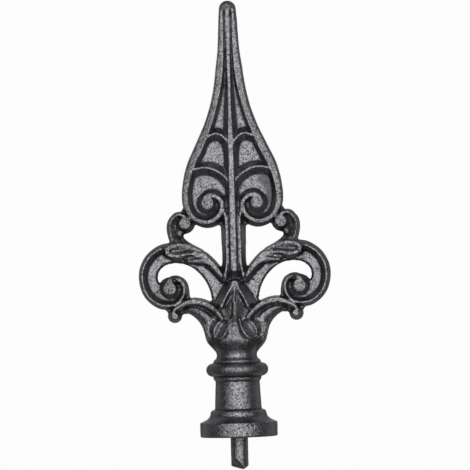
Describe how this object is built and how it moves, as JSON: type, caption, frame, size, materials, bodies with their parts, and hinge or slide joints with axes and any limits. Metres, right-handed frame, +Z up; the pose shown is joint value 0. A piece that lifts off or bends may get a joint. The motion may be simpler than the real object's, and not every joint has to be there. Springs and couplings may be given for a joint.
{
  "type": "fence spear finial",
  "caption": "Cast-iron spear finial for a fence post: pierced scroll and leaf spearhead on a turned base with a round flange, and a spigot below it.",
  "frame": {"origin": "centre of the flange's underside, where the finial sits on its post and the spigot enters it", "axes": "+Z up along the spigot's axis towards the spear's tip, +X to the right across the scrolls, front face towards -Y"},
  "size_m": [0.0996, 0.04, 0.2418],
  "materials": {
    "cast_iron": "raw sand-cast, graphite grey with a fine bright grain"
  },
  "bodies": {
    "root": {"spear_finial": "cast_iron"}
  },
  "joints": []
}
